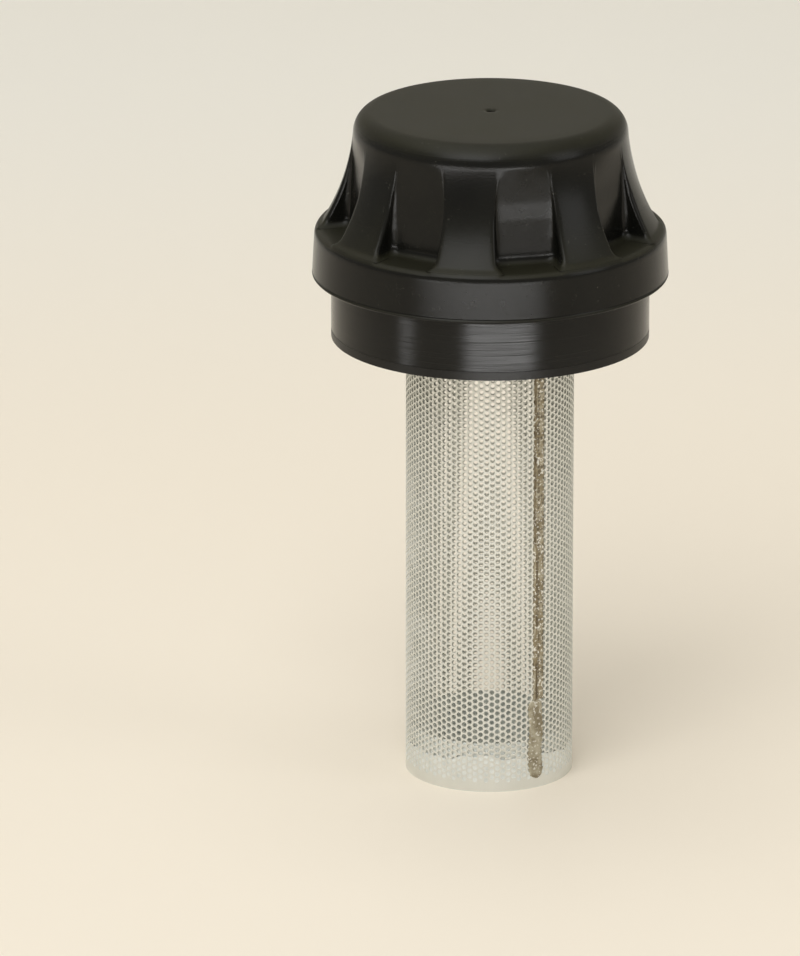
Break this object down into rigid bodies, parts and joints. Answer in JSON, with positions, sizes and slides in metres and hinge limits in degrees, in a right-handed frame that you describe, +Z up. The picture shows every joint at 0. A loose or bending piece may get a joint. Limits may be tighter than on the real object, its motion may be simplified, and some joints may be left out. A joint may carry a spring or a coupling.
{
  "type": "hydraulic filler breather",
  "caption": "Filler breather for a hydraulic tank: fluted black screw cap with air filter, round bolt-down flange and a hanging perforated strainer basket.",
  "frame": {"origin": "centre of the strainer's foot, the lowest point of the part", "axes": "+Z up along the axis of the neck, strainer and cap; the seam of the strainer lies towards -Y and +X"},
  "size_m": [0.0913, 0.0912, 0.1766],
  "materials": {
    "black_nylon": "glossy moulded black nylon with fine turned lines",
    "black_cap_nylon": "satin moulded black nylon",
    "gasket_rubber": "flat nitrile cork sheet",
    "perforated_zinc": "bright zinc plated perforated sheet",
    "zinc_sheet": "bright zinc plated sheet",
    "spring_steel": "bright steel",
    "filter_paper": "resin treated pleated paper",
    "brass": "turned brass"
  },
  "bodies": {
    "base": {"flange_body": "black_nylon", "flange_gasket": "gasket_rubber", "strainer_tube": "perforated_zinc", "strainer_end_cap": "zinc_sheet", "strainer_collar": "zinc_sheet", "strainer_seat_seal": "gasket_rubber", "strainer_snap_ring": "spring_steel"},
    "cap_seal": {"cap_gasket": "gasket_rubber"},
    "cap": {"cap_cover": "black_cap_nylon", "cap_screw_ring": "black_nylon", "air_filter_element": "filter_paper", "element_upper_end_ring": "zinc_sheet", "element_lower_end_ring": "zinc_sheet", "element_upper_seal": "gasket_rubber", "element_lower_seal": "gasket_rubber", "element_core": "zinc_sheet", "brass_bush": "brass", "splash_guard": "black_nylon", "retainer_washer": "spring_steel", "retainer_screw": "spring_steel"}
  },
  "joints": [
    {"name": "cap_lift", "type": "slide", "parent": "base", "child": "cap_seal", "axis": [0, 0, 1], "range_m": [0, 0.0105]},
    {"name": "cap_turn", "type": "hinge", "parent": "cap_seal", "child": "cap", "pos_m": [0, 0, 0.15], "axis": [0, 0, 1], "range_deg": [0, 630]}
  ],
  "couplings": [
    {"joint": "cap_lift", "follows": "cap_turn", "m_per_rad": 0.00095493}
  ]
}
